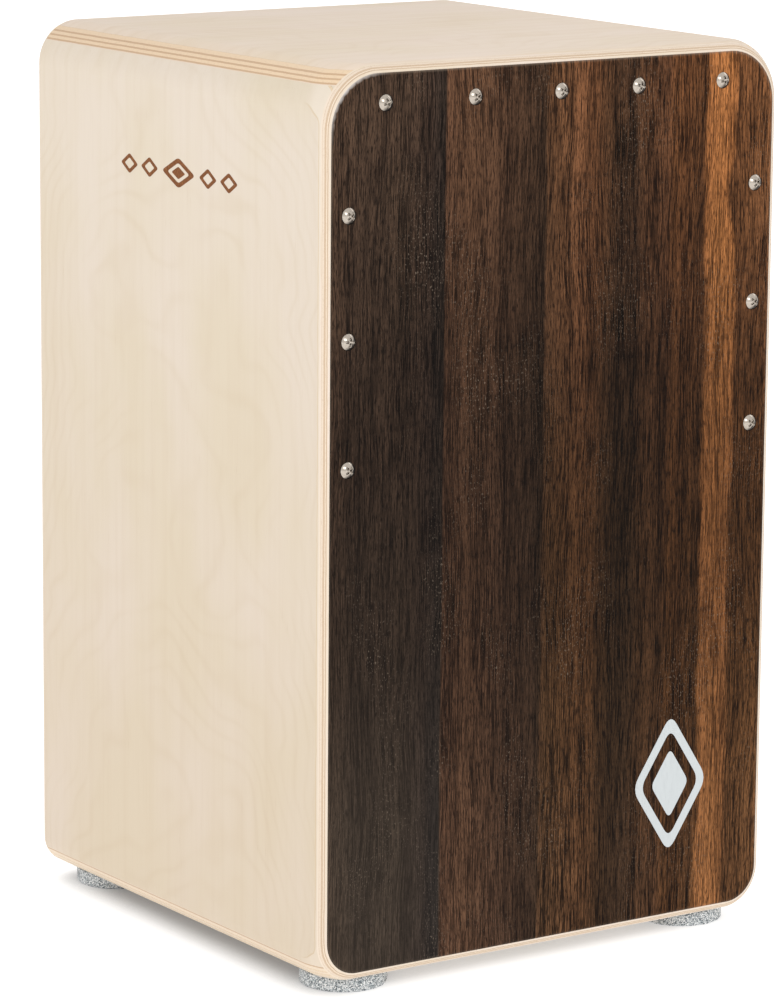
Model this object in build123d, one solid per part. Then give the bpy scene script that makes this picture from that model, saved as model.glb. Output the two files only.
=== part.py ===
from build123d import *
import math
import os

# Cajon: a plywood box drum with rounded edges, a thin screwed playing face in front, a sound hole
# in the back, four round feet and a snare unit that pulls off its pads inside.
# Millimetres. X is the width, -Y the front (playing face), Z up. The origin is at the centre of
# the bounding box's underside, where the feet stand on the floor.

# ---- driving dimensions ----
WIDTH = 300.0
DEPTH = 297.0
HEIGHT = 500.0
FOOT_HEIGHT = 8.5
FOOT_DIAMETER = 48.0
FOOT_FROM_SIDE = 35.0
FOOT_FROM_FRONT = 30.0
EDGE_RADIUS = 7.0
TOP_CORNER_RADIUS = 24.0
BOTTOM_CORNER_RADIUS = 16.0
FACE_TOP_CORNER_RADIUS = 27.0
FACE_BOTTOM_CORNER_RADIUS = 17.0
CORNER_BLEND_DEPTH = 18.0
BLEND_STEPS = 4
ROUNDING_STEPS = 8

PANEL = 10.5
BACK_PANEL = 6.0
FACE_CORE = 3.65
FACE_VENEER = 0.35

BATTEN = 18.0
CORNER_BATTEN = 16.0
CORNER_BATTEN_CHAMFER = 8.0

SOUND_HOLE_DIAMETER = 120.0
SOUND_HOLE_FROM_TOP = 185.0
SOUND_HOLE_ROUND = 2.0

SCREW_HEAD_DIAMETER = 9.0
SCREW_HEAD_HEIGHT = 2.4
SCREW_HEAD_ROUND = 1.5
SCREW_SHANK_DIAMETER = 4.0
SCREW_CLEARANCE_HOLE = 4.5
SCREW_LENGTH = 20.0
SCREW_TIP = 4.0
TOP_SCREW_X = (-111.5, -54.5, 1.5, 53.0, 110.0)
TOP_SCREW_DROP = 20.5
SIDE_SCREW_X = 134.0
SIDE_SCREW_DROPS = (78.0, 144.0, 212.0)
RECESS_ACROSS = 4.6
RECESS_SLOT = 1.0
RECESS_DEPTH = 1.7

PAD_SIZE = (11.0, 1.5, 26.0)
PAD_GAP = 0.3
SNARE_DROP = 142.0
SNARE_BAR = (266.0, 18.0, 32.0)
SNARE_BLOCK_WIDTH = 62.0
SNARE_BLOCK_TILT = 1.0
SNARE_CENTRE_X = 58.0
STRIP = (56.0, 1.0, 20.0)
WIRE_COUNT = 10
WIRE_DIAMETER = 2.0
WIRE_PITCH = 5.4
WIRE_LENGTH = 98.0
WIRE_ON_STRIP = 8.0
WIRE_TIP_GAP = 0.5
STRIP_SCREW_X = 21.0
STRIP_SCREW_HEAD = (5.6, 1.6)
STRIP_SCREW_SHANK = (2.5, 10.0)

# ---- places worked out from them ----
OVERALL_DEPTH = DEPTH + SCREW_HEAD_HEIGHT
FRONT_Y = -OVERALL_DEPTH / 2 + SCREW_HEAD_HEIGHT
BACK_Y = OVERALL_DEPTH / 2
CORE_Y = FRONT_Y + FACE_VENEER
BOX_FRONT_Y = CORE_Y + FACE_CORE
BOX_BACK_Y = BACK_Y - BACK_PANEL
SIDE_X = WIDTH / 2
INNER_X = SIDE_X - PANEL
FLOOR_Z = FOOT_HEIGHT
INNER_LOW_Z = FLOOR_Z + PANEL
INNER_HIGH_Z = HEIGHT - PANEL
PAD_Y = BOX_FRONT_Y + BATTEN
BAR_FRONT_Y = PAD_Y + 2 * PAD_SIZE[1] + PAD_GAP
SNARE_Z = HEIGHT - SNARE_DROP
OUTSIDE = 2 * HEIGHT


def span_box(x, y, z):
    """Box between two values on each axis."""
    size = [high - low for low, high in (x, y, z)]
    centre = [(high + low) / 2 for low, high in (x, y, z)]
    return Pos(*centre) * Box(*size)


def rod(diameter, start, length, direction=(0, 1, 0)):
    """Cylinder from a start point along a direction."""
    plane = Plane(origin=start, z_dir=direction)
    return extrude(plane * Circle(diameter / 2), length)


# ---- outline shared by the whole box ----
def rounded_sheet(inset, top_radius, bottom_radius):
    """Front view of the box, drawn in from its sides, with its own upper and lower corner radii."""
    sheet = Rectangle(WIDTH - 2 * inset, HEIGHT - FLOOR_Z - 2 * inset)
    sheet = fillet(sheet.vertices().group_by(Axis.Y)[-1], top_radius)
    return fillet(sheet.vertices().group_by(Axis.Y)[0], bottom_radius)


def section(depth):
    """Section behind the face: drawn in by the rim's rounding, with corners fuller near the face."""
    inset = 0.0
    if depth < EDGE_RADIUS:
        inset = EDGE_RADIUS - math.sqrt(EDGE_RADIUS**2 - (EDGE_RADIUS - depth) ** 2)
    share = depth / CORNER_BLEND_DEPTH
    fuller = 1 - share**2 * (3 - 2 * share)
    top = TOP_CORNER_RADIUS + fuller * (FACE_TOP_CORNER_RADIUS + EDGE_RADIUS - TOP_CORNER_RADIUS)
    bottom = BOTTOM_CORNER_RADIUS + fuller * (
        FACE_BOTTOM_CORNER_RADIUS + EDGE_RADIUS - BOTTOM_CORNER_RADIUS)
    plane = Plane(origin=(0, FRONT_Y + depth, (FLOOR_Z + HEIGHT) / 2), x_dir=(1, 0, 0), z_dir=(0, -1, 0))
    return plane * rounded_sheet(inset, top - inset, bottom - inset)


def make_envelope():
    """Rounded block that all outer pieces are cut from, as if sanded after glueing."""
    angles = [90 * step / ROUNDING_STEPS for step in range(ROUNDING_STEPS + 1)]
    rim = [section(EDGE_RADIUS * (1 - math.cos(math.radians(angle)))) for angle in angles]
    step_depth = (CORNER_BLEND_DEPTH - EDGE_RADIUS) / BLEND_STEPS
    blend = [section(EDGE_RADIUS + step_depth * step) for step in range(BLEND_STEPS + 1)]
    rest = extrude(blend[-1].faces()[0], amount=DEPTH - CORNER_BLEND_DEPTH, dir=(0, 1, 0))
    back_rim = rest.faces().sort_by(Axis.Y)[-1].edges()
    return loft(rim) + loft(blend) + fillet(back_rim, EDGE_RADIUS)


def from_envelope(x=(-OUTSIDE, OUTSIDE), y=(-OUTSIDE, OUTSIDE), z=(-OUTSIDE, OUTSIDE)):
    """The piece of the rounded block between limits; an axis without limits is kept whole."""
    return envelope & span_box(x, y, z)


# ---- screws ----
def screw_places():
    """Head centres on the face: one row along the top, one down each upper side."""
    places = [(x, HEIGHT - TOP_SCREW_DROP) for x in TOP_SCREW_X]
    for side in (-1, 1):
        places += [(side * SIDE_SCREW_X, HEIGHT - drop) for drop in SIDE_SCREW_DROPS]
    return places


def screw_hole(x, z):
    """Pilot hole that matches the shank and its pointed tip."""
    straight = SCREW_LENGTH - SCREW_TIP
    shank = rod(SCREW_SHANK_DIAMETER, (x, FRONT_Y, z), straight)
    tip_plane = Plane(origin=(x, FRONT_Y + straight + SCREW_TIP / 2, z), z_dir=(0, 1, 0))
    tip = tip_plane * Cone(SCREW_SHANK_DIAMETER / 2, 0.2, SCREW_TIP)
    return shank + tip


def face_screw(x, z):
    """Pan-head wood screw with a tapered cross recess."""
    outward = Plane(origin=(x, FRONT_Y, z), x_dir=(1, 0, 0), z_dir=(0, -1, 0))
    disc = Pos(0, 0, SCREW_HEAD_HEIGHT / 2) * Cylinder(SCREW_HEAD_DIAMETER / 2, SCREW_HEAD_HEIGHT)
    crown = disc.edges().filter_by(GeomType.CIRCLE).sort_by(Axis.Z)[-1:]
    head = outward * fillet(crown, SCREW_HEAD_ROUND)
    mouth = outward.offset(SCREW_HEAD_HEIGHT)
    floor = outward.offset(SCREW_HEAD_HEIGHT - RECESS_DEPTH)
    for width, height in ((RECESS_ACROSS, RECESS_SLOT), (RECESS_SLOT, RECESS_ACROSS)):
        rectangles = [mouth * Rectangle(width, height), floor * Rectangle(width * 0.45, height * 0.45)]
        head -= loft(rectangles)
    return head + screw_hole(x, z)


# ---- frames ----
def frame_battens(prefix, y):
    """Four battens round the inside of the box, between two Y values."""
    top = span_box((-INNER_X, INNER_X), y, (INNER_HIGH_Z - BATTEN, INNER_HIGH_Z))
    bottom = span_box((-INNER_X, INNER_X), y, (INNER_LOW_Z, INNER_LOW_Z + BATTEN))
    upright_z = (INNER_LOW_Z + BATTEN, INNER_HIGH_Z - BATTEN)
    left = span_box((-INNER_X, -INNER_X + BATTEN), y, upright_z)
    right = span_box((INNER_X - BATTEN, INNER_X), y, upright_z)
    return {
        f"{prefix}_top_batten": top,
        f"{prefix}_bottom_batten": bottom,
        f"{prefix}_left_batten": left,
        f"{prefix}_right_batten": right,
    }


def corner_batten(side, level):
    """Glue block along one inner corner, with its free edge chamfered."""
    x = sorted((side * INNER_X, side * (INNER_X - CORNER_BATTEN)))
    z = (INNER_HIGH_Z - CORNER_BATTEN, INNER_HIGH_Z) if level > 0 else (
        INNER_LOW_Z, INNER_LOW_Z + CORNER_BATTEN)
    block = span_box(x, (BOX_FRONT_Y + BATTEN, BOX_BACK_Y - BATTEN), z)
    free_x = side * (INNER_X - CORNER_BATTEN)
    free_z = z[0] if level > 0 else z[1]
    inner = [edge for edge in block.edges().filter_by(Axis.Y)
             if abs(edge.center().X - free_x) < 0.01 and abs(edge.center().Z - free_z) < 0.01]
    return chamfer(inner, CORNER_BATTEN_CHAMFER)


# ---- back panel ----
def back_with_hole():
    """Back panel with its round sound hole, rounded on both rims."""
    panel = from_envelope(y=(BOX_BACK_Y, OUTSIDE))
    hole_z = HEIGHT - SOUND_HOLE_FROM_TOP
    panel -= rod(SOUND_HOLE_DIAMETER, (0, BOX_BACK_Y - 1, hole_z), BACK_PANEL + 2)
    rims = [edge for edge in panel.edges().filter_by(GeomType.CIRCLE)
            if abs(edge.radius - SOUND_HOLE_DIAMETER / 2) < 0.01]
    return fillet(rims, SOUND_HOLE_ROUND)


# ---- feet ----
def foot(side, end):
    """Round pad with a softened rim under one corner."""
    x = side * (SIDE_X - FOOT_FROM_SIDE)
    y = FRONT_Y + FOOT_FROM_FRONT if end < 0 else BACK_Y - FOOT_FROM_FRONT
    disc = rod(FOOT_DIAMETER, (x, y, 0), FOOT_HEIGHT, (0, 0, 1))
    return fillet(disc.edges().filter_by(GeomType.CIRCLE).sort_by(Axis.Z)[:1], 1.0)


# ---- snare unit ----
def tilted(side):
    """Plane on a snare block's front, leaning so that the wire tips reach the face."""
    strip_front = BOX_FRONT_Y + WIRE_TIP_GAP + WIRE_DIAMETER
    reach = WIRE_LENGTH * math.sin(math.radians(SNARE_BLOCK_TILT))
    origin = (side * SNARE_CENTRE_X, strip_front + reach, SNARE_Z + SNARE_BAR[2] / 2)
    lean = math.radians(SNARE_BLOCK_TILT)
    return Plane(origin=origin, x_dir=(1, 0, 0), z_dir=(0, -math.cos(lean), -math.sin(lean)))


def snare_block(side):
    """Wedge block between the bar and an end strip."""
    front = tilted(side)
    width = SNARE_BLOCK_WIDTH
    x = side * SNARE_CENTRE_X
    half = SNARE_BAR[2] / 2
    body = span_box((x - width / 2, x + width / 2), (BOX_FRONT_Y + 1, BAR_FRONT_Y),
                    (SNARE_Z - half, SNARE_Z + half))
    cut = front.offset(-STRIP[1]) * Pos(0, 0, 30) * Box(2 * width, 4 * width, 60)
    return body - cut - strip_screws(side, 0)


def end_strip(side):
    """Steel strip that the wires are soldered to."""
    strip = tilted(side) * Pos(0, -STRIP[2] / 2 - 2, -STRIP[1] / 2) * Box(STRIP[0], STRIP[2], STRIP[1])
    return strip - strip_screws(side, 0)


def strip_screws(side, with_heads=1):
    """Two small round-head screws through an end strip into its block."""
    screws = Part()
    front = tilted(side)
    for x in (-STRIP_SCREW_X, STRIP_SCREW_X):
        place = Pos(x, -STRIP[2] + 2.5, 0)
        shank = front * place * Pos(0, 0, -STRIP_SCREW_SHANK[1] / 2) * Cylinder(
            STRIP_SCREW_SHANK[0] / 2, STRIP_SCREW_SHANK[1])
        if with_heads:
            radius, height = STRIP_SCREW_HEAD[0] / 2, STRIP_SCREW_HEAD[1]
            cap = Cylinder(radius, height)
            cap = fillet(cap.edges().filter_by(GeomType.CIRCLE).sort_by(Axis.Z)[-1:], 0.9)
            shank += front * place * Pos(0, 0, height / 2) * cap
        screws += shank
    return screws


def wire_set(side):
    """Parallel snare wires that rise from the strip towards the face."""
    front = tilted(side)
    first = -(WIRE_COUNT - 1) / 2 * WIRE_PITCH
    wires = []
    for i in range(WIRE_COUNT):
        centre_y = WIRE_LENGTH / 2 - WIRE_ON_STRIP - 2
        wire = Rot(90, 0, 0) * Cylinder(WIRE_DIAMETER / 2, WIRE_LENGTH)
        wires.append(front * Pos(first + i * WIRE_PITCH, centre_y, WIRE_DIAMETER / 2) * wire)
    return Compound(children=wires)


def pad(side, start_y):
    """Hook or loop pad at one end of the snare bar."""
    x = side * (INNER_X - BATTEN + PAD_SIZE[0] / 2)
    return Pos(x, start_y + PAD_SIZE[1] / 2, SNARE_Z) * Box(*PAD_SIZE)


# ---- assemble ----
envelope = make_envelope()
box_y = (BOX_FRONT_Y, BOX_BACK_Y)
side_z = (INNER_LOW_Z, INNER_HIGH_Z)
parts = {
    "top_panel": from_envelope(y=box_y, z=(INNER_HIGH_Z, OUTSIDE)),
    "bottom_panel": from_envelope(y=box_y, z=(-OUTSIDE, INNER_LOW_Z)),
    "left_panel": from_envelope((-OUTSIDE, -INNER_X), box_y, side_z),
    "right_panel": from_envelope((INNER_X, OUTSIDE), box_y, side_z),
    "back_panel": back_with_hole(),
    "playing_face": from_envelope(y=(CORE_Y, BOX_FRONT_Y)),
    "face_veneer": from_envelope(y=(-OUTSIDE, CORE_Y)),
}
parts |= frame_battens("front", (BOX_FRONT_Y, BOX_FRONT_Y + BATTEN))
parts |= frame_battens("rear", (BOX_BACK_Y - BATTEN, BOX_BACK_Y))
for side, side_name in ((-1, "left"), (1, "right")):
    parts[f"upper_{side_name}_corner_batten"] = corner_batten(side, 1)
    parts[f"lower_{side_name}_corner_batten"] = corner_batten(side, -1)
    parts[f"front_{side_name}_foot"] = foot(side, -1)
    parts[f"rear_{side_name}_foot"] = foot(side, 1)
    parts[f"{side_name}_hook_pad"] = pad(side, PAD_Y)
    parts[f"{side_name}_loop_pad"] = pad(side, PAD_Y + PAD_SIZE[1] + PAD_GAP)
    parts[f"{side_name}_snare_block"] = snare_block(side)
    parts[f"{side_name}_snare_strip"] = end_strip(side)
    parts[f"{side_name}_snare_wires"] = wire_set(side)
    parts[f"{side_name}_strip_screws"] = strip_screws(side)
bar_y = (BAR_FRONT_Y, BAR_FRONT_Y + SNARE_BAR[1])
bar_z = (SNARE_Z - SNARE_BAR[2] / 2, SNARE_Z + SNARE_BAR[2] / 2)
parts["snare_bar"] = span_box((-SNARE_BAR[0] / 2, SNARE_BAR[0] / 2), bar_y, bar_z)

for x, z in screw_places():
    clearance = rod(SCREW_CLEARANCE_HOLE, (x, FRONT_Y - 1, z), FACE_VENEER + FACE_CORE + 1)
    for sheet in ("playing_face", "face_veneer"):
        parts[sheet] -= clearance
    hole = screw_hole(x, z)
    batten = "front_top_batten" if abs(x) < SIDE_SCREW_X else (
        "front_left_batten" if x < 0 else "front_right_batten")
    parts[batten] -= hole
parts["face_screws"] = Compound(children=[face_screw(x, z) for x, z in screw_places()])

os.makedirs("parts", exist_ok=True)
for name, shape in parts.items():
    export_step(shape, f"parts/{name}.step")
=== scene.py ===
import math
import random

import bmesh
import bpy
from mathutils import Matrix, Vector


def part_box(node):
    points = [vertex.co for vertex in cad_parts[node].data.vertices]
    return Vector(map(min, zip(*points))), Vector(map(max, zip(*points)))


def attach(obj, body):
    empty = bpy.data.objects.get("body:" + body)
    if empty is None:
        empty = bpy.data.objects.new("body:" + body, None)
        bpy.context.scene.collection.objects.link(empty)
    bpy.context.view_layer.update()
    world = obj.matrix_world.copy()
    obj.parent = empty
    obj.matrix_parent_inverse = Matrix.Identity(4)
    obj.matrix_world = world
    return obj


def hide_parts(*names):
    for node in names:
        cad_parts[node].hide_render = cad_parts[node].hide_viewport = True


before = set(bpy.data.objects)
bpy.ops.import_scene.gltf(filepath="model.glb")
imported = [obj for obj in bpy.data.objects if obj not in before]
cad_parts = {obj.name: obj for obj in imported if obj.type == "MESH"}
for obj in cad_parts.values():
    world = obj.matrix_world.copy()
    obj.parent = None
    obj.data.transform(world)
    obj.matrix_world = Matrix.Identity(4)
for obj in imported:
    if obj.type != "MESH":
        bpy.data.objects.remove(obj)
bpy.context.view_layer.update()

# The looks of a plywood cajon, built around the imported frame. Metres, +Z up, -Y the playing face.
MM = 0.001
BOX_BODY = "box"
SNARE_BODY = "snare_unit"


# ---------------------------------------------------------------- frame places
def node_box(node):
    """Lowest and highest corner of a CAD node in millimetres."""
    low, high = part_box(node)
    return low / MM, high / MM


FACE_Y = node_box("face_veneer")[0].y
SIDE_X = node_box("left_panel")[0].x
TOP_Z = node_box("top_panel")[1].z
BOTTOM_Z = node_box("bottom_panel")[0].z
BACK_Y = node_box("back_panel")[1].y
VENEER = node_box("face_veneer")[1].y - FACE_Y


# ---------------------------------------------------------------- materials
def linear(colour):
    """An sRGB colour of 0 to 255 as linear RGBA."""
    channels = []
    for value in colour:
        value /= 255
        channels.append(value / 12.92 if value <= 0.04045 else ((value + 0.055) / 1.055) ** 2.4)
    return (*channels, 1.0)


class Look:
    """One node material, with short methods for the nodes that its pattern needs."""

    def __init__(self, name, roughness=0.5, specular=0.5, metallic=0.0):
        self.material = bpy.data.materials.new(name)
        self.material.use_nodes = True
        self.tree = self.material.node_tree
        self.shader = self.tree.nodes["Principled BSDF"]
        self.shader.inputs["Roughness"].default_value = roughness
        self.shader.inputs["Specular IOR Level"].default_value = specular
        self.shader.inputs["Metallic"].default_value = metallic
        coordinates = self.tree.nodes.new("ShaderNodeTexCoord").outputs["Object"]
        self.place = self.vector("SCALE", coordinates, scale=1 / MM)
        parts = self.node("SeparateXYZ", {"Vector": self.place})
        self.axes = {"X": parts.outputs[0], "Y": parts.outputs[1], "Z": parts.outputs[2]}

    def node(self, kind, inputs, **settings):
        made = self.tree.nodes.new("ShaderNode" + kind)
        for key, value in settings.items():
            setattr(made, key, value)
        for key, value in inputs.items():
            if isinstance(value, bpy.types.NodeSocket):
                self.tree.links.new(value, made.inputs[key])
            else:
                made.inputs[key].default_value = value
        return made

    def vector(self, operation, a, b=None, scale=None):
        inputs = {0: a}
        if b is not None:
            inputs[1] = b
        if scale is not None:
            inputs["Scale"] = scale
        made = self.node("VectorMath", inputs, operation=operation)
        return made.outputs["Value" if operation == "DOT_PRODUCT" else "Vector"]

    def math(self, operation, a, b=0.0, c=0.0):
        return self.node("Math", {0: a, 1: b, 2: c}, operation=operation).outputs[0]

    def stretch(self, x, y, z, shift=0.0):
        """The position with its axes scaled, so that noise runs along the grain."""
        scaled = self.vector("MULTIPLY", self.place, (x, y, z))
        return self.vector("ADD", scaled, (shift, shift * 0.7, shift * 1.3))

    def noise(self, vector, detail=2.0, roughness=0.5, distortion=0.0):
        inputs = {"Vector": vector, "Scale": 1.0, "Detail": detail, "Roughness": roughness,
                  "Distortion": distortion}
        return self.node("TexNoise", inputs).outputs[0]

    def cells(self, vector, output="Color", randomness=1.0):
        inputs = {"Vector": vector, "Scale": 1.0, "Randomness": randomness}
        return self.node("TexVoronoi", inputs).outputs[output]

    def map(self, value, low, high, to_low=0.0, to_high=1.0):
        inputs = {0: value, 1: low, 2: high, 3: to_low, 4: to_high}
        return self.node("MapRange", inputs).outputs[0]

    def ramp(self, value, stops, interpolation="LINEAR"):
        made = self.node("ValToRGB", {0: value})
        ramp = made.color_ramp
        ramp.interpolation = interpolation
        while len(ramp.elements) < len(stops):
            ramp.elements.new(1.0)
        for element, (position, colour) in zip(ramp.elements, stops):
            element.position = position
            element.color = colour if len(colour) == 4 else linear(colour)
        return made.outputs[0]

    def mix(self, factor, a, b, blend="MIX"):
        made = self.node("Mix", {}, data_type="RGBA", blend_type=blend)
        for index, value in ((0, factor), (6, a), (7, b)):
            if isinstance(value, bpy.types.NodeSocket):
                self.tree.links.new(value, made.inputs[index])
            else:
                made.inputs[index].default_value = value
        return made.outputs[2]

    def finish(self, colour, roughness=None, height=None, relief=0.0):
        """Ends the material: base colour, and optional roughness and bump height in millimetres."""
        self.tree.links.new(colour, self.shader.inputs["Base Color"])
        if roughness is not None:
            self.tree.links.new(roughness, self.shader.inputs["Roughness"])
        if height is not None:
            bump = self.node("Bump", {"Height": height, "Distance": relief * MM, "Strength": 1.0})
            self.tree.links.new(bump.outputs[0], self.shader.inputs["Normal"])
        return self.material


CREAM = (238, 224, 206)
CREAM_YELLOW = (231, 214, 186)
CREAM_ROSE = (238, 222, 208)
PLY_PALE = (243, 224, 200)
PLY_LIGHT = (239, 216, 184)
PLY_DARK = (211, 180, 147)
GLUE = (190, 154, 120)


def ply_stops(plies, total):
    """Ramp stops for a stack of plies from the outer surface inwards, each ended by a glue line."""
    glue = 0.07
    stops = []
    depth = 0.0
    for thickness, tone in plies:
        stops.append((depth / total, linear(tone)))
        depth += thickness
        stops.append(((depth - glue) / total, linear(GLUE)))
    return stops[:-1]


def birch(name, thickness_axis, outer, inward, grain, plies, seed=0.0, shade=None, outer_line=None):
    """Rotary-cut birch: a pale figured face on a stack of plies that shows where an edge is rounded."""
    look = Look(name, roughness=0.45, specular=0.3)
    across = next(axis for axis in "XYZ" if axis not in (thickness_axis, grain))
    total = sum(ply[0] for ply in plies)
    depth = look.math("MULTIPLY", look.math("SUBTRACT", look.axes[thickness_axis], outer), inward)
    waver = look.noise(look.stretch(0.11, 0.11, 0.11, seed), 2.0)
    depth = look.math("ADD", depth, look.map(waver, 0.0, 1.0, -0.12, 0.12))

    def along_grain(cross, along, shift):
        scale = {grain: along, across: cross, thickness_axis: cross}
        return look.stretch(scale["X"], scale["Y"], scale["Z"], shift + seed)

    # figure of the face: faint contour lines that wave across the middle and run upright near the edges
    field = look.noise(along_grain(0.009, 0.013, 3.0), 2.0, 0.45)
    side_run = look.math("POWER", look.math("ABSOLUTE", look.math("DIVIDE", look.axes[across], 140.0)), 3.0)
    contour = look.math("ADD", look.math("MULTIPLY", look.axes[grain], 1 / 42),
                        look.math("MULTIPLY", field, 8.0))
    contour = look.math("ADD", contour, look.math("MULTIPLY", side_run, 6.0))
    wave = look.math("SINE", look.math("MULTIPLY", contour, 2 * math.pi))
    lines = look.math("POWER", look.map(wave, -1.0, 1.0), 4.0)
    patch = look.noise(along_grain(0.02, 0.014, 11.0), 1.0)
    lines = look.math("MULTIPLY", lines, look.map(patch, 0.3, 0.65))
    streak = look.noise(along_grain(0.16, 0.004, 17.0), 3.0, 0.6)
    fibre = look.noise(along_grain(0.9, 0.02, 23.0), 3.0, 0.6)
    fleck = look.noise(along_grain(1.1, 0.07, 31.0), 2.0, 0.5)
    cloud = look.noise(along_grain(0.016, 0.009, 41.0), 2.0)
    face = look.mix(look.map(cloud, 0.35, 0.65), linear(CREAM_YELLOW), linear(CREAM_ROSE))
    face = look.mix(0.5, face, linear(CREAM))
    face = look.mix(look.math("MULTIPLY", lines, 0.2), face, linear((219, 197, 166)))
    face = look.mix(look.map(streak, 0.45, 0.8, 0.0, 0.2), face, linear((222, 200, 172)))
    face = look.mix(look.map(fibre, 0.5, 0.8, 0.0, 0.12), face, linear((214, 192, 164)))
    face = look.mix(look.map(fleck, 0.68, 0.8, 0.0, 0.3), face, linear((205, 176, 142)))

    # plies, with pores over their cut edges
    edge = look.ramp(look.math("DIVIDE", depth, total), ply_stops(plies, total), "CONSTANT")
    pores = look.noise(look.stretch(0.9, 0.9, 0.9, 7.0), 4.0, 0.7)
    edge = look.mix(look.map(pores, 0.5, 0.8, 0.0, 0.4), edge, linear((190, 156, 124)))
    first = plies[0][0]
    last = total - plies[-1][0]
    in_stack = look.math("MULTIPLY", look.math("GREATER_THAN", depth, first),
                         look.math("LESS_THAN", depth, last))
    colour = look.mix(in_stack, face, edge)
    if outer_line:
        # the thin outer veneer ends along the front rounding
        line = look.math("MULTIPLY", look.map(depth, *outer_line, 0.0, 0.7),
                         look.math("LESS_THAN", depth, first))
        line = look.math("MULTIPLY", line, look.map(look.axes["Y"], FACE_Y + 20.0, FACE_Y + 10.0))
        colour = look.mix(line, colour, linear((246, 232, 216)))
        seam = look.math("COMPARE", depth, outer_line[0], 0.07)
        seam = look.math("MULTIPLY", seam, look.map(look.axes["Y"], FACE_Y + 20.0, FACE_Y + 10.0, 0.0, 0.6))
        colour = look.mix(seam, colour, linear((224, 198, 160)))
    # a tone by place over the whole colour; on the sides and the top it darkens them as painted shade
    axis, start, end, start_tone, end_tone = shade or ("Z", BOTTOM_Z, TOP_Z, BIRCH_TONE, BIRCH_TONE)
    tone = look.mix(look.map(look.axes[axis], start, end), (*start_tone, 1), (*end_tone, 1))
    colour = look.mix(1.0, colour, tone, "MULTIPLY")
    height = look.math("SUBTRACT", look.math("MULTIPLY", fibre, 0.6), look.math("MULTIPLY", fleck, 0.4))
    roughness = look.map(streak, 0.2, 0.8, 0.40, 0.52)
    return look.finish(colour, roughness, height, 0.03)


# How much light the birch gives back, as a share of its plain colour; the sides darken and yellow downwards and
# the top darkens towards the back, as painted shade.
BIRCH_TONE = (0.875, 0.872, 0.871)
SIDE_PAINTED_SHADE = ("Z", 100.0, 450.0, (0.79, 0.77, 0.735), (0.84, 0.846, 0.835))
TOP_PAINTED_SHADE = ("Y", -140.0, 140.0, (0.925, 0.89, 0.865), (0.865, 0.83, 0.81))
FACE_CORE_SHADE = ("Z", 0.0, 500.0, (0.94, 0.93, 0.93), (0.94, 0.93, 0.93))
TOP_PLIES = [(3.0, CREAM), (1.9, PLY_LIGHT), (0.7, PLY_DARK), (1.5, PLY_LIGHT), (0.7, PLY_DARK),
             (1.5, PLY_LIGHT), (0.8, PLY_DARK), (0.4, CREAM)]
BOTTOM_PLIES = [(2.6, CREAM), (1.7, PLY_PALE), (0.8, PLY_LIGHT), (1.6, PLY_PALE), (0.8, PLY_LIGHT),
                (1.8, PLY_PALE), (0.8, PLY_DARK), (0.4, CREAM)]
SIDE_PLIES = [(7.2, CREAM), (0.9, PLY_LIGHT), (2.4, CREAM)]
OUTER_LINE = (0.3, 0.45)
BACK_PLIES = [(1.2, CREAM), (1.2, PLY_DARK), (1.2, PLY_LIGHT), (1.2, PLY_DARK), (1.2, CREAM)]
FACE_PLIES = [(0.55, (255, 254, 246)), (0.25, (212, 188, 160)), (0.45, (238, 222, 200)),
              (0.5, (214, 190, 162)), (1.0, (234, 217, 196)), (0.9, (230, 214, 196))]


# Tone of the face veneer from left to right: place in millimetres, and colour.
VENEER_TONES = (
    (-150, (60, 46, 37)), (-128, (50, 39, 32)), (-100, (50, 39, 32)), (-84, (44, 34, 29)),
    (-79, (36, 29, 26)), (-73.2, (34, 28, 25)),
    (-72.8, (68, 48, 36)), (-58, (69, 49, 36)), (-42, (66, 47, 35)), (-34, (54, 38, 28)),
    (-8.2, (46, 33, 24)),
    (-7.8, (66, 46, 32)), (5, (80, 55, 38)), (16, (86, 58, 40)), (24, (76, 50, 33)), (33, (58, 39, 26)),
    (40, (46, 31, 21)), (52, (51, 35, 25)),
    (60, (67, 45, 31)), (74, (66, 43, 29)), (79, (79, 51, 31)), (86, (66, 41, 24)), (92, (77, 50, 31)),
    (99, (62, 39, 23)),
    (102.5, (122, 80, 47)), (112, (133, 88, 51)), (119.5, (128, 84, 49)), (123, (84, 55, 34)),
    (134, (86, 57, 36)), (150, (99, 67, 44)),
)
# Where one leaf of veneer ends and the next begins.
LEAF_JOINTS = (-73.0, -8.0, 47.0, 124.0)


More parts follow.
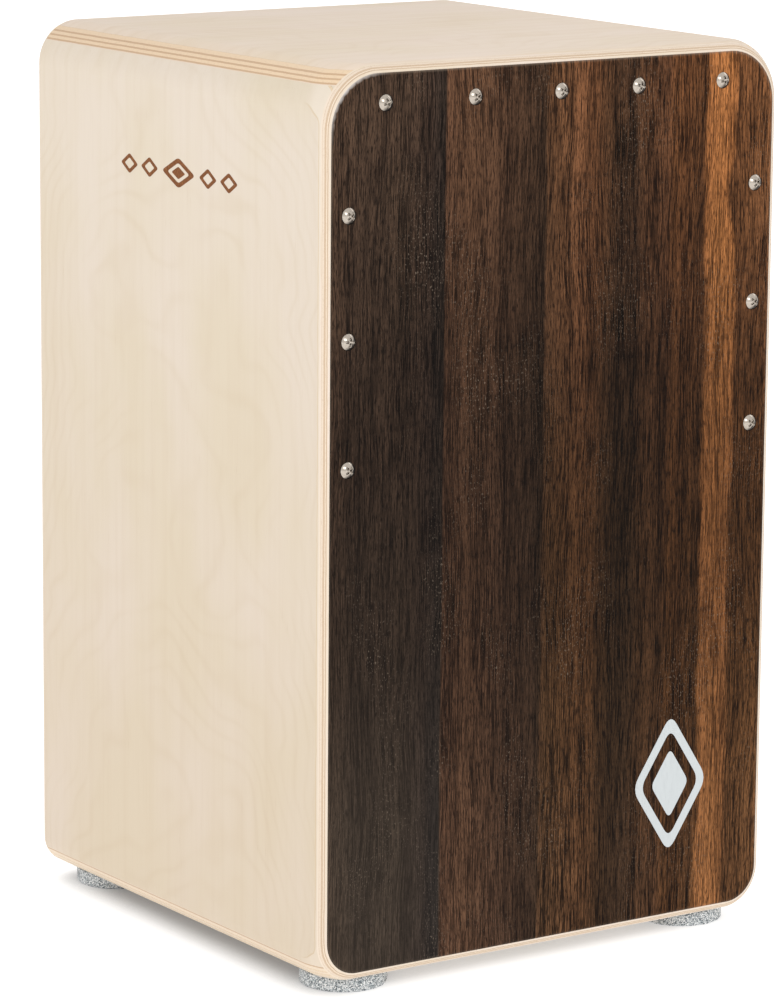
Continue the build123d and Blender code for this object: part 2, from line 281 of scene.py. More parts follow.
def dark_veneer(name):
    """Smoked veneer in upright leaves, with open pores, dark and light streaks and bright ray marks that carry
    painted glints.
    """
    look = Look(name, roughness=0.42, specular=0.05)
    x, z = look.axes["X"], look.axes["Z"]

    # the tone wanders to the side a little, and more round the golden strip, which swells above a knot
    wander = look.math("SUBTRACT", look.noise(look.stretch(0.012, 0.0, 0.016, 5.0), 3.0), 0.5)
    sway = look.math("MULTIPLY", wander, look.ramp(
        look.map(x, -150.0, 150.0), [(0.0, (0.004,) * 3 + (1,)), (0.6, (0.02,) * 3 + (1,)),
                                     (0.86, (0.05,) * 3 + (1,)), (1.0, (0.03,) * 3 + (1,))]))
    knot = look.math("POWER", 2.718, look.math("MULTIPLY", look.math("POWER", look.map(
        z, 390.0, 445.0, -1.6, 1.6), 2.0), -1.0))
    knot = look.math("MULTIPLY", knot, look.map(x, 100.0, 120.0, 0.0, 7.0))
    tone_x = look.math("ADD", x, look.math("ADD", look.math("MULTIPLY", sway, 200.0), knot))
    stops = [((place + 150) / 300, linear(tone)) for place, tone in VENEER_TONES]
    tone = look.ramp(look.map(tone_x, -150.0, 150.0), stops)
    golden = look.math("MULTIPLY", look.map(tone_x, 99.0, 103.0), look.map(tone_x, 124.0, 120.0))
    fade = look.math("MULTIPLY", golden, look.map(z, 330.0, 150.0, 0.0, 0.5))
    tone = look.mix(fade, tone, linear((66, 42, 25)))

    # lighter towards both ends of the face: painted reflection of the floor below and of the bright surround
    # above
    level = look.ramp(look.map(z, 0.0, 500.0), [
        (0.02, (0.72, 0.74, 0.78, 1)), (0.18, (0.62, 0.63, 0.65, 1)), (0.38, (0.36, 0.35, 0.35, 1)),
        (0.64, (0.37, 0.36, 0.36, 1)), (0.8, (0.57, 0.56, 0.55, 1)), (0.97, (0.84, 0.82, 0.79, 1))])

    # the right half is smoked deeper round the middle of its height
    deeper = look.ramp(look.map(z, 0.0, 500.0), [
        (0.1, (0.8, 0.84, 0.8, 1)), (0.3, (0.78, 0.8, 0.68, 1)),
        (0.5, (0.76, 0.75, 0.62, 1)), (0.72, (1, 1, 1, 1))])
    right_half = look.map(x, -12.0, -4.0)
    gold_free = look.math("SUBTRACT", 1.0, golden)
    dark_half = look.math("MULTIPLY", right_half, gold_free)
    level = look.mix(dark_half, level, look.mix(1.0, level, deeper, "MULTIPLY"))

    # the golden strip keeps its tone there
    golden_middle = look.math("MULTIPLY", golden, look.map(z, 440.0, 360.0))
    level = look.mix(golden_middle, level, look.mix(1.0, level, (1.26, 1.28, 1.26, 1), "MULTIPLY"))

    # the left leaf turns greyer towards the floor
    greyer = look.math("MULTIPLY", look.map(x, LEAF_JOINTS[0] + 1.0, LEAF_JOINTS[0] - 1.0),
                       look.map(z, 290.0, 90.0))
    level = look.mix(greyer, level, look.mix(1.0, level, (1.04, 1.26, 1.38, 1), "MULTIPLY"))

    # each leaf has grain of its own; the middle one leans outwards in arches
    leaf = 0.0
    for joint in LEAF_JOINTS:
        leaf = look.math("ADD", leaf, look.math("GREATER_THAN", x, joint))
    arch = look.math("POWER", look.map(z, 190.0, 290.0, 0.0, 1.0), 2.0)
    in_middle = look.math("MULTIPLY", look.math("GREATER_THAN", x, LEAF_JOINTS[1]),
                          look.map(x, 42.0, 20.0))
    lean = look.math("MULTIPLY", look.math("MULTIPLY", arch, in_middle), -2.6)
    drift_noise = look.noise(look.stretch(0.02, 0.0, 0.007, 9.0), 2.0)
    drift = look.math("MULTIPLY", look.math("SUBTRACT", drift_noise, 0.5), 14.0)
    swept_x = look.math("ADD", look.math("ADD", x, lean), drift)
    swept = look.node("CombineXYZ", {0: swept_x, 1: look.math("MULTIPLY", leaf, 37.0),
                                     2: look.math("ADD", z, look.math("MULTIPLY", leaf, 211.0))}).outputs[0]

    def grain(across, along, detail, roughness):
        return look.noise(look.vector("MULTIPLY", swept, (across, 1.0, along)), detail, roughness)

    broad = grain(0.13, 0.0035, 4.0, 0.7)
    streak = grain(0.5, 0.018, 3.0, 0.65)
    fine = grain(1.5, 0.042, 2.5, 0.66)
    pore = grain(2.2, 0.19, 2.0, 0.6)
    fleck = grain(1.5, 0.6, 1.0, 0.5)
    fleck_patch = look.noise(look.stretch(0.03, 0.0, 0.014, 14.0), 2.0)

    figure = look.math("MULTIPLY_ADD", fine, 0.55, look.math(
        "MULTIPLY_ADD", broad, 0.25, look.math("MULTIPLY", streak, 0.2)))
    tone = look.mix(1.0, tone, level, "MULTIPLY")
    dark = look.mix(1.0, tone, (0.48, 0.44, 0.40, 1), "MULTIPLY")
    light = look.vector("ADD", look.vector("MULTIPLY", tone, (3.35, 3.1, 2.8)), (0.013, 0.0082, 0.0052))
    dark = look.mix(dark_half, dark, look.vector("MULTIPLY", dark, (0.6, 0.6, 0.58)))
    light = look.mix(dark_half, light, look.vector("MULTIPLY", light, (1.08, 1.06, 1.0)))
    colour = look.mix(look.map(figure, 0.437, 0.563), dark, light)
    colour = look.mix(look.map(pore, 0.5, 0.6, 0.0, 0.85), colour,
                      look.vector("MULTIPLY", dark, (0.8, 0.75, 0.75)))
    colour = look.mix(look.math("MULTIPLY", greyer, 0.45), colour, look.mix(0.4, dark, light))
    # pale ray marks in patches, carrying painted glints
    flecks_and_glints = look.math("MULTIPLY", look.map(fleck, 0.62, 0.72), look.map(fleck_patch, 0.5, 0.68, 0.05, 0.6))
    colour = look.mix(flecks_and_glints, colour, linear((140, 124, 108)))
    # paler wood where the rounding cuts through the veneer, made stronger towards the top as a painted
    # highlight; at the upper corner a near-white painted glint
    rim = look.math("MULTIPLY", look.map(look.axes["Y"], FACE_Y + 0.04, FACE_Y + VENEER, 0.0, 0.45),
                    look.map(z, 380.0, 490.0, 0.35, 1.0))
    colour = look.mix(rim, colour, linear((150, 134, 118)))
    # painted glint: near white at the upper left corner of the rim
    corner = look.math("MULTIPLY", look.map(x, -108.0, -136.0), look.map(z, 458.0, 486.0))
    colour = look.mix(look.math("MULTIPLY", corner, look.math("MULTIPLY", rim, 1.8)), colour,
                      linear((226, 220, 216)))
    height = look.math("SUBTRACT", look.math("MULTIPLY", streak, 0.4), look.map(pore, 0.55, 0.75))
    return look.finish(colour, look.map(streak, 0.3, 0.7, 0.38, 0.5), height, 0.045)


def timber(name, grain, light, dark, seed, relief=0.05):
    """Planed solid wood with growth lines along its grain."""
    look = Look(name, roughness=0.6, specular=0.3)
    scale = {axis: (0.012 if axis == grain else 0.45) for axis in "XYZ"}
    rings = look.noise(look.stretch(scale["X"], scale["Y"], scale["Z"], seed), 2.5, 0.5, 0.4)
    bands = look.map(look.math("SINE", look.math("MULTIPLY", rings, 42.0)), -1.0, 1.0)
    scale = {axis: (0.06 if axis == grain else 2.4) for axis in "XYZ"}
    fibre = look.noise(look.stretch(scale["X"], scale["Y"], scale["Z"], seed + 3), 3.0, 0.6)
    colour = look.mix(bands, linear(light), linear(dark))
    colour = look.mix(look.map(fibre, 0.5, 0.85, 0.0, 0.5), colour, linear([tone * 0.8 for tone in dark]))
    return look.finish(colour, look.map(fibre, 0.3, 0.7, 0.52, 0.68), fibre, relief)


def metal(name, colour, roughness, brushed=0.0):
    """Plated metal with faint handling marks, brushed along X if asked."""
    look = Look(name, roughness=roughness, metallic=1.0)
    marks = look.noise(look.stretch(0.5 if brushed else 1.4, 1.4, 9.0 if brushed else 1.4), 3.0, 0.6)
    tone = look.mix(look.map(marks, 0.35, 0.75, 0.0, 0.35), linear(colour),
                    linear([c * 0.86 for c in colour]))
    return look.finish(tone, look.map(marks, 0.3, 0.7, roughness * 0.75, roughness * 1.35), marks, 0.01)


def shaded_nickel(name):
    """Bright plated screw head, with painted shade on the slopes that face down and to the right, and a little
    dirt in its marks.
    """
    look = Look(name, roughness=0.16, metallic=1.0)
    normal = look.node("NewGeometry", {}).outputs["Normal"]
    towards = look.vector("DOT_PRODUCT", normal, (0.8, 0.0, -0.6))
    marks = look.noise(look.stretch(1.2, 1.2, 1.2), 3.0, 0.6)
    tone = look.mix(look.map(marks, 0.35, 0.75, 0.0, 0.4), linear((192, 182, 170)), linear((158, 146, 134)))
    # painted shade: the slopes that face down and to the right turn dark, plus a little dirt in the marks
    shade_and_grime = look.math("ADD", look.map(towards, -0.05, 0.33, 0.0, 0.95), look.map(marks, 0.5, 0.8, 0.0, 0.15))
    tone = look.mix(shade_and_grime, tone, linear((36, 28, 24)))
    return look.finish(tone, look.map(marks, 0.3, 0.7, 0.12, 0.22), marks, 0.01)


def speckled_felt(name):
    """Dense grey felt pressed from pale, grey and dark fibres."""
    look = Look(name, roughness=0.95, specular=0.15)
    look.shader.inputs["Sheen Weight"].default_value = 0.25
    look.shader.inputs["Sheen Roughness"].default_value = 0.6
    small = look.cells(look.stretch(1.9, 1.9, 1.9))
    parts = look.node("SeparateColor", {"Color": small})
    tiny = look.noise(look.stretch(2.6, 2.6, 2.6, 4.0), 3.0, 0.7)
    pick = look.math("ADD", look.math("MULTIPLY", parts.outputs[0], 0.72), look.math("MULTIPLY", tiny, 0.45))
    colour = look.ramp(pick, [(0.18, (30, 38, 44)), (0.34, (104, 115, 122)), (0.5, (178, 186, 189)),
                              (0.66, (216, 221, 223)), (0.82, (254, 254, 253))])
    return look.finish(colour, None, look.math("ADD", tiny, parts.outputs[1]), 0.35)


def tape(name, tone, scale):
    """Black hook-and-loop tape with a woven ground."""
    look = Look(name, roughness=0.85, specular=0.2)
    weave = look.cells(look.stretch(scale, scale, scale), "Distance")
    fuzz = look.noise(look.stretch(4.0, 4.0, 4.0), 3.0, 0.7)
    colour = look.mix(weave, linear(tone), linear([value * 2.2 for value in tone]))
    colour = look.mix(look.map(fuzz, 0.5, 0.9, 0.0, 0.5), colour, linear((70, 70, 74)))
    return look.finish(colour, None, look.math("ADD", weave, fuzz), 0.25)


def print_ink(name, colour, grainy):
    """Matt print that lets a little of the wood's pores through."""
    look = Look(name, roughness=0.5, specular=0.25)
    pore = look.noise(look.stretch(2.6, 2.6, 0.16, 1.0), 3.0, 0.6)
    worn = look.noise(look.stretch(0.3, 0.3, 0.12, 6.0), 2.0)
    tone = look.mix(look.map(pore, 0.56, 0.8, 0.0, grainy), linear(colour), linear([c * 0.72 for c in colour]))
    tone = look.mix(look.map(worn, 0.4, 0.8, 0.0, 0.25), tone, linear([c * 0.93 for c in colour]))
    return look.finish(tone, look.map(pore, 0.3, 0.7, 0.45, 0.6), pore, 0.02)


def scorched(name):
    """Burnt-in mark: brown, unevenly darker in patches and along its fibres."""
    look = Look(name, roughness=0.7, specular=0.15)
    burn = look.noise(look.stretch(0.9, 0.9, 0.5), 4.0, 0.65)
    fibre = look.noise(look.stretch(2.0, 2.4, 0.06), 3.0, 0.6)
    colour = look.ramp(burn, [(0.25, (96, 56, 30)), (0.5, (126, 78, 44)), (0.75, (156, 102, 62))])
    colour = look.mix(look.map(fibre, 0.5, 0.85, 0.0, 0.4), colour, linear((88, 50, 28)))
    return look.finish(colour, None, fibre, 0.03)


def paint_node(node, material):
    """Gives a CAD node one material."""
    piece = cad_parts[node]
    piece.data.materials.clear()
    piece.data.materials.append(material)


def paint_box():
    """Materials of the CAD nodes that stay."""
    paint_node("left_panel", birch("birch_left", "X", SIDE_X, 1, "Z", SIDE_PLIES, 0.0, SIDE_PAINTED_SHADE,
                                   OUTER_LINE))
    paint_node("right_panel", birch("birch_right", "X", -SIDE_X, -1, "Z", SIDE_PLIES, 47.0, SIDE_PAINTED_SHADE,
                                    OUTER_LINE))
    paint_node("top_panel", birch("birch_top", "Z", TOP_Z, -1, "X", TOP_PLIES, 91.0, TOP_PAINTED_SHADE))
    paint_node("bottom_panel", birch("birch_bottom", "Z", BOTTOM_Z, 1, "X", BOTTOM_PLIES, 133.0))
    paint_node("back_panel", birch("birch_back", "Y", BACK_Y, -1, "Z", BACK_PLIES, 171.0))
    paint_node("playing_face", birch("birch_face_core", "Y", FACE_Y + VENEER, 1, "Z", FACE_PLIES, 209.0,
                                     FACE_CORE_SHADE))
    paint_node("face_veneer", dark_veneer("striped_dark_veneer"))
    spruce = ((226, 190, 138), (204, 158, 102))
    for axis, names in (("X", ("top", "bottom")), ("Z", ("left", "right"))):
        for seed, name in enumerate(names):
            for end in ("front", "rear"):
                material = timber(f"spruce_{end}_{name}", axis, *spruce, seed * 13 + len(end))
                paint_node(f"{end}_{name}_batten", material)
    for seed, corner in enumerate(("upper_left", "upper_right", "lower_left", "lower_right")):
        paint_node(f"{corner}_corner_batten", timber(f"spruce_{corner}", "Y", *spruce, 30 + seed * 11))
    beech = ((206, 160, 122), (188, 138, 100))
    paint_node("snare_bar", timber("beech_bar", "X", *beech, 5.0))
    for side in ("left", "right"):
        paint_node(f"{side}_snare_block", timber(f"beech_block_{side}", "X", *beech, 8.0))
        paint_node(f"{side}_snare_strip", metal(f"zinc_strip_{side}", (176, 178, 182), 0.34, 1.0))


# ---------------------------------------------------------------- mesh helpers
def new_piece(name, bm, material, body, replaced=(), smooth=True):
    """Turns a bmesh in millimetres into a piece that rides on a body."""
    bmesh.ops.recalc_face_normals(bm, faces=bm.faces)
    for face in bm.faces:
        face.smooth = smooth
    mesh = bpy.data.meshes.new(name)
    bm.to_mesh(mesh)
    bm.free()
    mesh.transform(Matrix.Scale(MM, 4))
    mesh.materials.append(material)
    piece = bpy.data.objects.new(name, mesh)
    bpy.context.scene.collection.objects.link(piece)
    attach(piece, body)
    if replaced:
        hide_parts(*replaced)
    return piece


# ---------------------------------------------------------------- screws
def add_screw(bm, place, radius, rise, shank_radius, shank_length):
    """Pan-head screw: a dome with a cross recess pressed into it, and a threaded shank."""
    segments, rings = 96, 30
    wing_length, wing_width, wing_depth = radius * 0.56, radius * 0.15, rise * 0.75

    def wing(u, v):
        inside = min(1, max(0, (wing_length - abs(u)) / (0.14 * wing_length)))
        inside *= min(1, max(0, (wing_width - abs(v)) / (0.25 * wing_width)))
        return inside * wing_depth * (1.0 - 0.6 * abs(u) / wing_length)

    def height(x, y):
        dome = rise * (1 - min(1, math.hypot(x, y) / (radius * 1.02)) ** 2.3)
        return dome - max(wing(x, y), wing(y, x))

    centre = bm.verts.new(place @ Vector((0, 0, height(0, 0))))
    previous = [centre] * segments
    for ring in range(1, rings + 1):
        reach = radius * ring / rings
        current = []
        for step in range(segments):
            angle = 2 * math.pi * step / segments
            x, y = reach * math.cos(angle), reach * math.sin(angle)
            current.append(bm.verts.new(place @ Vector((x, y, height(x, y)))))
        for step in range(segments):
            after = (step + 1) % segments
            corners = [previous[step], current[step], current[after], previous[after]]
            bm.faces.new(list(dict.fromkeys(corners)))
        previous = current
    thread = 1.1 * shank_radius
    turns = int((shank_length - 2 * thread) / thread)
    under = [(radius, 0.0)]
    under += [(shank_radius * 0.78, 0.0)]
    for turn in range(turns):
        level = -thread * (turn + 0.5)
        under += [(shank_radius * 0.78, level + thread * 0.35), (shank_radius, level),
                  (shank_radius * 0.78, level - thread * 0.35)]
    under += [(0.0, -shank_length)]
    rim = previous
    for reach, level in under:
        if reach:
            current = []
            for step in range(segments):
                angle = 2 * math.pi * step / segments
                point = Vector((reach * math.cos(angle), reach * math.sin(angle), level))
                current.append(bm.verts.new(place @ point))
        else:
            current = [bm.verts.new(place @ Vector((0, 0, level)))] * segments
        for step in range(segments):
            after = (step + 1) % segments
            bm.faces.new(list(dict.fromkeys([rim[step], current[step], current[after], rim[after]])))
        rim = current


def islands(node):
    """Centre, in millimetres, of the box of each separate solid in a CAD node."""
    bm = bmesh.new()
    bm.from_mesh(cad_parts[node].data)
    bmesh.ops.remove_doubles(bm, verts=bm.verts, dist=1e-7)
    left = set(bm.verts)
    boxes = []
    while left:
        start = left.pop()
        group, front = [start], [start]
        while front:
            vertex = front.pop()
            for edge in vertex.link_edges:
                other = edge.other_vert(vertex)
                if other in left:
                    left.remove(other)
                    group.append(other)
                    front.append(other)
        low = Vector([min(v.co[i] for v in group) for i in range(3)]) / MM
        high = Vector([max(v.co[i] for v in group) for i in range(3)]) / MM
        boxes.append((low, high))
    bm.free()
    return sorted(boxes, key=lambda pair: (round(pair[0].z), round(pair[0].x)))


def facing_front(x, y, z, turn):
    """Placement whose local Z points to the front, turned about it by degrees."""
    return Matrix.Translation((x, y, z)) @ Matrix.Rotation(math.pi / 2, 4, "X") @ Matrix.Rotation(
        math.radians(turn), 4, "Z")


def make_face_screws():
    """The screws that hold the upper part of the face, each stopped at its own angle."""
    rng = random.Random(11)
    bm = bmesh.new()
    for low, high in islands("face_screws"):
        centre = (low + high) / 2
        radius = (high.x - low.x) / 2
        rise = FACE_Y - low.y
        place = facing_front(centre.x, FACE_Y, centre.z, rng.uniform(0, 90))
        add_screw(bm, place, radius, rise, 2.0, high.y - FACE_Y)
    new_piece("face_screw_set", bm, shaded_nickel("bright_nickel"), BOX_BODY,
              ["face_screws"])


# ---------------------------------------------------------------- feet
def make_foot(corner, seed):
    """Pressed felt disc: fuzzy sides, softly rounded rims, flat underside."""
    rng = random.Random(seed)
    node = f"{corner}_foot"
    low, high = node_box(node)
    centre = (low + high) / 2
    radius = (high.x - low.x) / 2 - 0.2
    height = high.z - low.z
    rim = 1.1
    profile = [(0.0, 0.0), (radius * 0.35, 0.0), (radius * 0.7, 0.0), (radius - 3.0, 0.0)]
    profile += [(radius - rim + rim * math.sin(math.radians(a)), rim - rim * math.cos(math.radians(a)))
                for a in (0, 30, 60, 90)]
    side_rows = 7
    profile += [(radius, rim + (height - 2 * rim) * row / side_rows) for row in range(1, side_rows)]
    profile += [(radius - rim + rim * math.cos(math.radians(a)), height - rim + rim * math.sin(math.radians(a)))
                for a in (0, 30, 60, 90)]
    profile += [(radius * 0.7, height), (0.0, height)]
    segments = 190
    phases = [rng.uniform(0, 6.28) for _ in range(6)]
    bm = bmesh.new()
    rings = []
    for reach, level in profile:
        ring = []
        for step in range(segments if reach else 1):
            angle = 2 * math.pi * step / segments
            wobble = 0.0
            if reach > radius - rim * 1.01 and 0.0 < level < height:
                wobble = 0.12 * sum(math.sin(angle * k * 3 + phases[k]) for k in range(1, 6)) / 2.5
                wobble += rng.uniform(-0.22, 0.16)
            x = centre.x + (reach + wobble) * math.cos(angle)
            y = centre.y + (reach + wobble) * math.sin(angle)
            ring.append(bm.verts.new((x, y, low.z + level)))
        rings.append(ring)
    for lower, upper in zip(rings, rings[1:]):
        for step in range(segments):
            after = (step + 1) % segments
            corners = [lower[step % len(lower)], lower[after % len(lower)],
                       upper[after % len(upper)], upper[step % len(upper)]]
            bm.faces.new(list(dict.fromkeys(corners)))
    foot = new_piece(f"{corner}_felt_foot", bm, FELT, BOX_BODY, [node])


# ---------------------------------------------------------------- snare unit
def add_tube(bm, points, radius, sides):
    """A closed tube that follows a list of points."""
    rings = []
    for index, point in enumerate(points):
        before = points[max(0, index - 1)]
        after = points[min(len(points) - 1, index + 1)]
        direction = (after - before).normalized()
        side = direction.cross(Vector((1, 0, 0))).normalized()
        other = direction.cross(side)
        ring = []
        for step in range(sides):
            angle = 2 * math.pi * step / sides
            ring.append(bm.verts.new(point + radius * (math.cos(angle) * side + math.sin(angle) * other)))
        rings.append(ring)
    for lower, upper in zip(rings, rings[1:]):
        for step in range(sides):
            after = (step + 1) % sides
            bm.faces.new([lower[step], lower[after], upper[after], upper[step]])
    bm.faces.new(rings[0])
    bm.faces.new(rings[-1])


def make_wires(side):
    """Ten coiled wires whose lower ends run straight into a bead of solder on the strip."""
    node = f"{side}_snare_wires"
    wire_radius, turn_pitch, points_per_turn = 0.24, 1.35, 9
    bm = bmesh.new()
    for low, high in islands(node):
        coil_radius = (high.x - low.x) / 2 - wire_radius
        x = (low.x + high.x) / 2
        bottom = Vector((x, high.y - coil_radius - wire_radius, low.z))
        top = Vector((x, low.y + coil_radius + wire_radius, high.z))
        run = top - bottom
        along = run.normalized()
        out = along.cross(Vector((1, 0, 0))).normalized()
        steps = int(run.length / turn_pitch * points_per_turn)
        straight = 7.0 / run.length
        points = []
        for step in range(steps + 1):
            share = step / steps
            spread = min(1.0, max(0.0, (share - straight) / 0.02))
            angle = 2 * math.pi * step / points_per_turn
            offset = spread * coil_radius * (math.cos(angle) * Vector((1, 0, 0)) + math.sin(angle) * out)
            points.append(bottom + run * share + offset)
        add_tube(bm, points, wire_radius, 5)
    new_piece(f"{side}_wire_coils", bm, WIRE_STEEL, SNARE_BODY, [node])
    low, high = node_box(f"{side}_snare_strip")
    wire_low = node_box(node)[0].z
    bead = bmesh.new()
    count = 60
    points = [Vector((low.x + 1.5 + (high.x - low.x - 3.0) * i / count, low.y - 0.75 + 0.08 * math.sin(i * 1.9),
                      wire_low + 4.2 + 0.12 * math.sin(i * 2.7))) for i in range(count + 1)]
    add_bead(bead, points, 0.95)
    new_piece(f"{side}_solder_bead", bead, SOLDER, SNARE_BODY)


def add_bead(bm, points, radius):
    """A rounded bead along X whose ends taper."""
    sides = 14
    rings = []
    for index, point in enumerate(points):
        share = index / (len(points) - 1)
        size = radius * math.sqrt(max(0.04, 1 - (2 * share - 1) ** 12)) * (1 + 0.06 * math.sin(index * 2.1))
        ring = []
        for step in range(sides):
            angle = 2 * math.pi * step / sides
            around = Vector((0, size * math.cos(angle), 1.5 * size * math.sin(angle)))
            ring.append(bm.verts.new(point + around))
        rings.append(ring)
    for lower, upper in zip(rings, rings[1:]):
        for step in range(sides):
            after = (step + 1) % sides
            bm.faces.new([lower[step], lower[after], upper[after], upper[step]])
    bm.faces.new(rings[0])
    bm.faces.new(rings[-1])


def make_strip_screws(side):
    """Two small round-head screws on a steel strip."""
    node = f"{side}_strip_screws"
    bm = bmesh.new()
    rng = random.Random(len(side))
    for low, high in islands(node):
        centre = (low + high) / 2
        radius = (high.x - low.x) / 2
        place = facing_front(centre.x, low.y + 1.6, centre.z, rng.uniform(0, 90))
        add_screw(bm, place, radius, 1.55, 1.25, high.y - low.y - 1.7)
    new_piece(f"{side}_strip_screw_pair", bm, ZINC, SNARE_BODY, [node])


def make_pad(node, body, material, towards, shape):
    """A pad of tape: a woven ground with rows of small hooks or loops on one side."""
    low, high = node_box(node)
    bm = bmesh.new()
    back = high.y if towards < 0 else low.y
    front = low.y if towards < 0 else high.y
    ground = back + (front - back) * 0.55
    columns, rows = 22, 52
    width, height = high.x - low.x, high.z - low.z
    grids = []
    for level, weave in ((back, 0.0), (ground, 0.12)):
        grid = []
        for row in range(rows + 1):
            for column in range(columns + 1):
                lift = weave * math.cos(math.pi * row) * math.cos(math.pi * column)
                grid.append(bm.verts.new((low.x + width * column / columns, level + lift * towards,
                                          low.z + height * row / rows)))
        grids.append(grid)
        for row in range(rows):
            for column in range(columns):
                first = row * (columns + 1) + column
                bm.faces.new([grid[first], grid[first + 1],
                              grid[first + columns + 2], grid[first + columns + 1]])
    border = [column for column in range(columns)]
    border += [row * (columns + 1) + columns for row in range(rows)]
    border += [rows * (columns + 1) + column for column in range(columns, 0, -1)]
    border += [row * (columns + 1) for row in range(rows, 0, -1)]
    for index, first in enumerate(border):
        second = border[(index + 1) % len(border)]
        bm.faces.new([grids[0][first], grids[0][second], grids[1][second], grids[1][first]])
    tall = abs(front - ground)
    for row in range(16):
        for column in range(7):
            x = low.x + width * (column + 0.5) / 7
            z = low.z + height * (row + 0.5) / 16
            points = []
            for step in range(7):
                angle = math.radians(step * 30 * shape)
                points.append(Vector((x + 0.1 * math.sin(row), ground + towards * (0.9 * tall * math.sin(angle)),
                                      z + 0.42 * (1 - math.cos(angle)))))
            add_tube(bm, points, 0.09, 4)
    new_piece(node + "_tape", bm, material, body, [node])


# ---------------------------------------------------------------- marks
def add_lozenge(bm, centre, half_width, half_height, hole, lift, to_place):
    """A thin lozenge with rounded corners, with a lozenge-shaped hole of a given share, or solid."""
    def outline(share):
        points = []
        corner = 0.16
        tips = [(half_width, 0), (0, half_height), (-half_width, 0), (0, -half_height)]
        for index, (x, y) in enumerate(tips):
            before, after = tips[index - 1], tips[(index + 1) % 4]
            start = Vector((x + (before[0] - x) * corner, y + (before[1] - y) * corner))
            end = Vector((x + (after[0] - x) * corner, y + (after[1] - y) * corner))
            tip = Vector((x, y))
            for step in range(7):
                t = step / 6
                points.append(((1 - t) ** 2 * start + 2 * t * (1 - t) * tip + t * t * end) * share)
        return points
    loops = []
    for level in (0.0, lift):
        for share in ((1.0, hole) if hole else (1.0,)):
            loops.append([bm.verts.new(to_place(centre[0] + p.x, centre[1] + p.y, level))
                          for p in outline(share)])
    if hole:
        low_out, low_in, high_out, high_in = loops
        pairs = ((low_out, low_in), (high_out, high_in), (low_out, high_out), (low_in, high_in))
    else:
        low_out, high_out = loops
        bm.faces.new(low_out)
        bm.faces.new(high_out)
        pairs = ((low_out, high_out),)
    for first, second in pairs:
        for index in range(len(first)):
            after = (index + 1) % len(first)
            bm.faces.new([first[index], first[after], second[after], second[index]])


def make_face_mark():
    """A plain nested lozenge printed low on the right of the face."""
    bm = bmesh.new()

    def on_face(u, v, level):
        return Vector((u, FACE_Y - level, v))
    centre = (83.0, BOTTOM_Z + 80.0)
    add_lozenge(bm, centre, 26.0, 40.0, 0.78, 0.06, on_face)
    add_lozenge(bm, centre, 13.0, 20.0, 0.0, 0.06, on_face)
    new_piece("face_lozenge_print", bm, print_ink("pale_print", (205, 210, 211), 0.35), BOX_BODY,
              smooth=False)


SIDE_MARK_DROP = 70.0
SIDE_MARK_MIDDLE = -5.0
SIDE_MARK_LIFT = 0.04
SIDE_MARK_OFFSETS = (-51.0, -30.0, 30.0, 51.0)


def make_side_mark():
    """Five small lozenges burnt in a row into the upper part of the left side."""
    bm = bmesh.new()

    def on_side(u, v, level):
        return Vector((SIDE_X - level, u, v))
    level = TOP_Z - SIDE_MARK_DROP
    middle = SIDE_MARK_MIDDLE
    add_lozenge(bm, (middle, level), 17.0, 8.5, 0.66, SIDE_MARK_LIFT, on_side)
    add_lozenge(bm, (middle, level), 7.0, 3.5, 0.0, SIDE_MARK_LIFT, on_side)
    for offset in SIDE_MARK_OFFSETS:
        add_lozenge(bm, (middle + offset, level), 9.0, 5.7, 0.56, SIDE_MARK_LIFT, on_side)
    new_piece("side_lozenge_mark", bm, scorched("scorched_birch"), BOX_BODY, smooth=False)


# ---------------------------------------------------------------- studio
CAMERA_AZIMUTH = -0.5981
CAMERA_ELEVATION = 0.1963
CAMERA_ROLL = 0.0079
CAMERA_DISTANCE = 2.5993
CAMERA_TARGET = Vector((-0.0078, 0.0012, 0.2340))
CAMERA_LENS = 165.2


def place_camera():
    """Long lens from the front left and a little above, without shift or depth of field."""
    a, e, roll = CAMERA_AZIMUTH, CAMERA_ELEVATION, CAMERA_ROLL
    back = Vector((math.sin(a) * math.cos(e), -math.cos(a) * math.cos(e), math.sin(e)))
    level = Vector((math.cos(a), math.sin(a), 0.0))
    upright = back.cross(level)
    right = level * math.cos(roll) + upright * math.sin(roll)
    up = upright * math.cos(roll) - level * math.sin(roll)
    data = bpy.data.cameras.new("camera")
    data.lens = CAMERA_LENS
    data.sensor_width = 36.0
    data.clip_end = 50.0
    camera = bpy.data.objects.new("camera", data)
    bpy.context.scene.collection.objects.link(camera)
    turn = Matrix((right, up, back)).transposed().to_4x4()
    camera.matrix_world = Matrix.Translation(CAMERA_TARGET + back * CAMERA_DISTANCE) @ turn
    bpy.context.scene.camera = camera


def soft_light(name, place, target, size, power, colour=(1, 1, 1)):
    """A large square softbox that looks at a point."""
    data = bpy.data.lights.new(name, "AREA")
    data.shape = "RECTANGLE"
    data.size, data.size_y = size
    data.energy = power
    data.color = colour
    light = bpy.data.objects.new(name, data)
    direction = Vector(target) - Vector(place)
    light.matrix_world = Matrix.Translation(place) @ direction.to_track_quat("-Z", "Y").to_matrix().to_4x4()
    bpy.context.scene.collection.objects.link(light)


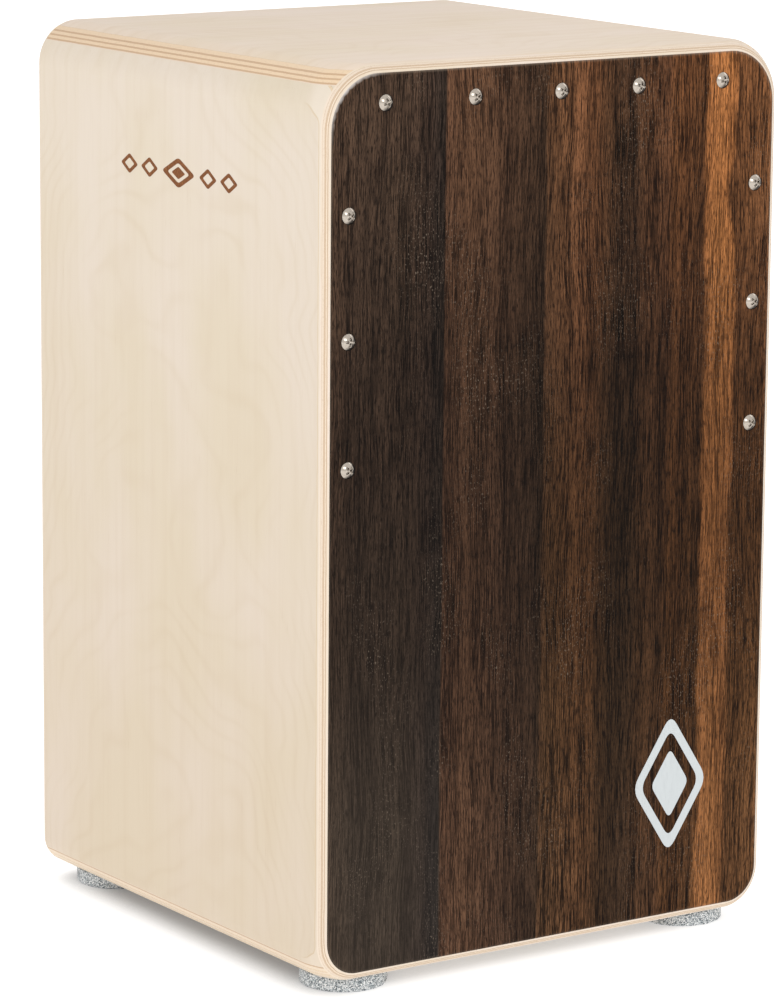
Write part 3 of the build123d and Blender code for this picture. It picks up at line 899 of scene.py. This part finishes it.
def make_surround():
    """White surround, brighter from the upper left and dimmer from the right; plain white to the camera."""
    world = bpy.data.worlds.new("studio")
    world.use_nodes = True
    tree = world.node_tree
    background = tree.nodes["Background"]
    background.inputs["Color"].default_value = (1.0, 1.0, 1.0, 1.0)
    direction = tree.nodes.new("ShaderNodeTexCoord").outputs["Generated"]
    dot = tree.nodes.new("ShaderNodeVectorMath")
    dot.operation = "DOT_PRODUCT"
    dot.inputs[1].default_value = BRIGHT_SIDE.normalized()
    tree.links.new(direction, dot.inputs[0])
    strength = tree.nodes.new("ShaderNodeMapRange")
    for index, value in ((1, -1.0), (2, 1.0), (3, DIM_STRENGTH), (4, BRIGHT_STRENGTH)):
        strength.inputs[index].default_value = value
    tree.links.new(dot.outputs["Value"], strength.inputs[0])
    choice = tree.nodes.new("ShaderNodeMix")
    tree.links.new(tree.nodes.new("ShaderNodeLightPath").outputs["Is Camera Ray"], choice.inputs[0])
    tree.links.new(strength.outputs[0], choice.inputs[2])
    choice.inputs[3].default_value = 1.0
    tree.links.new(choice.outputs[0], background.inputs["Strength"])
    bpy.context.scene.world = world


def make_studio():
    """Plain pale floor that glows in the open and less close to the box, which paints a soft contact shadow, and
    softboxes.
    """
    bm = bmesh.new()
    bmesh.ops.create_circle(bm, cap_ends=True, segments=96, radius=14.0)
    mesh = bpy.data.meshes.new("floor")
    bm.to_mesh(mesh)
    bm.free()
    look = Look("pale_floor", roughness=0.9, specular=0.0)
    look.shader.inputs["Emission Color"].default_value = (1.0, 1.0, 1.0, 1.0)
    # the glow drops near the box: painted contact shadow
    open_air = look.node("AmbientOcclusion", {"Distance": CONTACT_REACH}, samples=12).outputs["AO"]
    lit = look.map(open_air, *CONTACT_RANGE)
    left_glow = look.math("MULTIPLY_ADD", lit, FLOOR_GLOW - LEFT_SHADOW_GLOW, LEFT_SHADOW_GLOW)
    front_glow = look.math("MULTIPLY_ADD", look.math("POWER", lit, FRONT_SHADOW_EASE),
                           FLOOR_GLOW - FRONT_SHADOW_GLOW, FRONT_SHADOW_GLOW)
    # painted shadow: fainter in front of the face than at the left side; they meet round the corner between
    past_corner = look.math("SUBTRACT", look.axes["X"], look.axes["Y"])
    in_front = look.map(past_corner, *CORNER_BLEND)
    glow = look.math("MULTIPLY_ADD", in_front, look.math("SUBTRACT", front_glow, left_glow), left_glow)
    look.tree.links.new(glow, look.shader.inputs["Emission Strength"])
    mottle = look.noise(look.stretch(0.002, 0.002, 0.002), 1.0)
    grey = look.mix(mottle, (0.47, 0.47, 0.47, 1), (0.49, 0.49, 0.49, 1))
    mesh.materials.append(look.finish(grey))
    floor = bpy.data.objects.new("floor", mesh)
    bpy.context.scene.collection.objects.link(floor)
    make_surround()
    middle = (0.0, 0.0, 0.25)
    soft_light("highlight", (-1.3, -2.0, 1.5), middle, (0.9, 0.9), 8.0)
    soft_light("right_top", (1.7, -0.2, 1.8), middle, (0.9, 0.9), 2.0)
    bpy.context.scene.view_settings.view_transform = "Standard"


BRIGHT_SIDE = Vector((-0.5, 0.0, 0.8))
BRIGHT_STRENGTH = 1.0
DIM_STRENGTH = 0.75
FLOOR_GLOW = 0.8
LEFT_SHADOW_GLOW = 0.12
FRONT_SHADOW_GLOW = 0.38
FRONT_SHADOW_EASE = 0.4
CORNER_BLEND = (-20.0, 40.0)
CONTACT_REACH = 0.048
CONTACT_RANGE = (0.12, 0.66)
FELT = speckled_felt("grey_felt")
WIRE_STEEL = metal("coil_wire", (196, 197, 199), 0.24)
SOLDER = metal("solder", (168, 168, 170), 0.42)
ZINC = metal("zinc_plate", (186, 188, 192), 0.3)

paint_box()
make_face_screws()
for seed, corner in enumerate(("front_left", "front_right", "rear_left", "rear_right")):
    make_foot(corner, 20 + seed)
for side in ("left", "right"):
    make_wires(side)
    make_strip_screws(side)
    make_pad(f"{side}_hook_pad", BOX_BODY, tape(f"hook_tape_{side}", (20, 20, 22), 2.2), 1, 1.25)
    make_pad(f"{side}_loop_pad", SNARE_BODY, tape(f"loop_tape_{side}", (26, 26, 28), 3.0), -1, 1.0)
make_face_mark()
make_side_mark()
place_camera()
make_studio()
